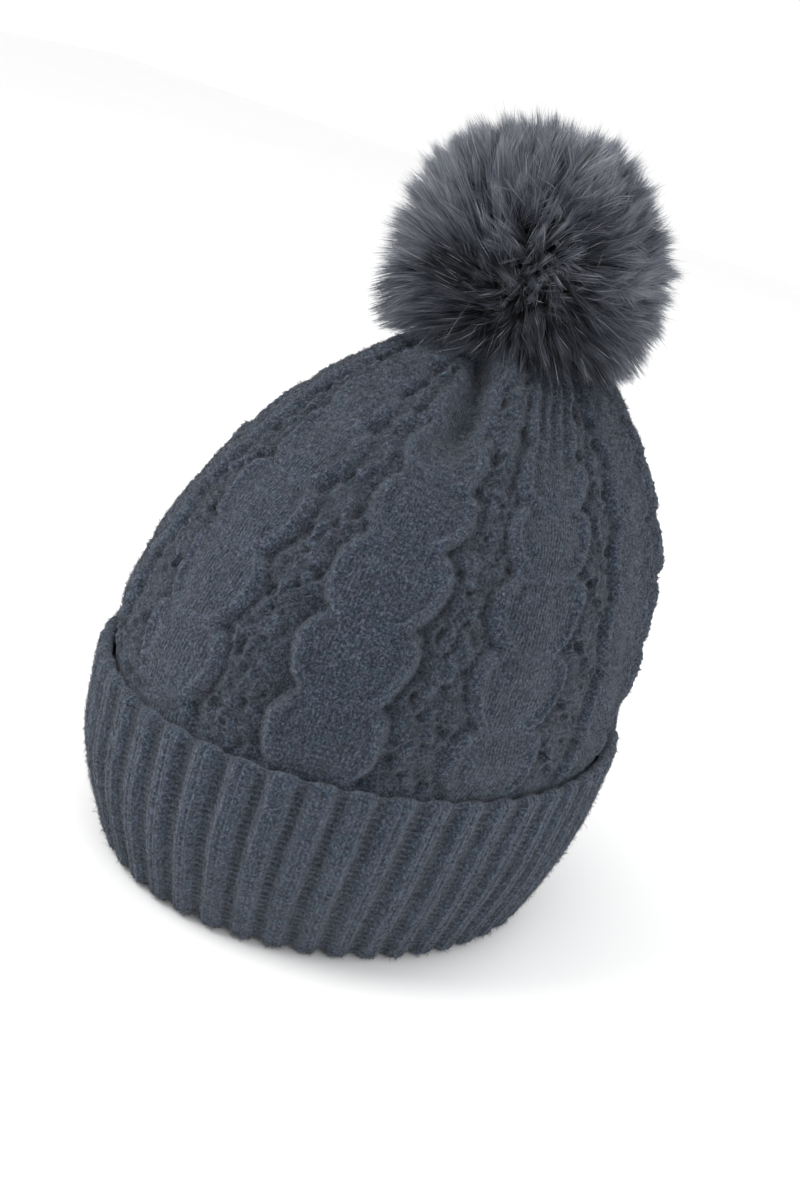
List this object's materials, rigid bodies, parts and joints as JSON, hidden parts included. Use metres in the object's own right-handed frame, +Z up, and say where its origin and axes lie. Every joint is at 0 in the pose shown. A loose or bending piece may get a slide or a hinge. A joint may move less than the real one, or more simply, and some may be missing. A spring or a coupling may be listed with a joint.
{
  "type": "knit beanie",
  "caption": "Cable-knit beanie with a turned-up rib cuff, a gathered crown and a round faux-fur pompom on a press snap.",
  "frame": {"origin": "centre of the head opening, in the plane of the cuff's bottom fold", "axes": "+Z up towards the pompom, -Y towards the forehead, +Y towards the back seam, +X towards the wearer's left"},
  "size_m": [0.1984, 0.2405, 0.2964],
  "materials": {
    "rib_yarn": "brushed",
    "cable_yarn": "brushed",
    "faux_fur": "long pile",
    "pouch_cloth": "woven",
    "felt": "felted",
    "stuffing": "loose fibre",
    "label_satin": "satin",
    "snap_metal": "nickel plated"
  },
  "bodies": {
    "cuff": {"cuff_outer": "rib_yarn"},
    "crown": {"inner_band": "rib_yarn", "cable_shell": "cable_yarn", "back_seam": "cable_yarn", "care_label": "label_satin", "crown_gather_yarn": "cable_yarn", "snap_stud": "snap_metal", "stud_backing_ring": "snap_metal"},
    "spring": {"snap_spring": "snap_metal"},
    "socket": {"snap_socket": "snap_metal", "backing_disc": "felt", "socket_cap": "snap_metal"},
    "pompom": {"fur_backing": "pouch_cloth", "fill_core": "stuffing", "fur_pile": "faux_fur", "pouch_gather_thread": "pouch_cloth"}
  },
  "joints": [
    {"name": "cuff_turn_down", "type": "slide", "parent": "cuff", "child": "crown", "axis": [0, 0, 1], "range_m": [0, 0.066]},
    {"name": "pompom_unsnap", "type": "slide", "parent": "crown", "child": "spring", "axis": [0, 0, 1], "range_m": [0, 0.02]},
    {"name": "pompom_spin", "type": "hinge", "parent": "spring", "child": "socket", "pos_m": [0, 0.04264, 0.212], "axis": [0, 0, 1], "continuous": true},
    {"name": "pompom_tilt", "type": "hinge", "parent": "socket", "child": "pompom", "pos_m": [0, 0.04264, 0.218], "axis": [1, 0, 0], "range_deg": [-15, 15], "stiffness_Nm_per_rad": 0.08}
  ]
}
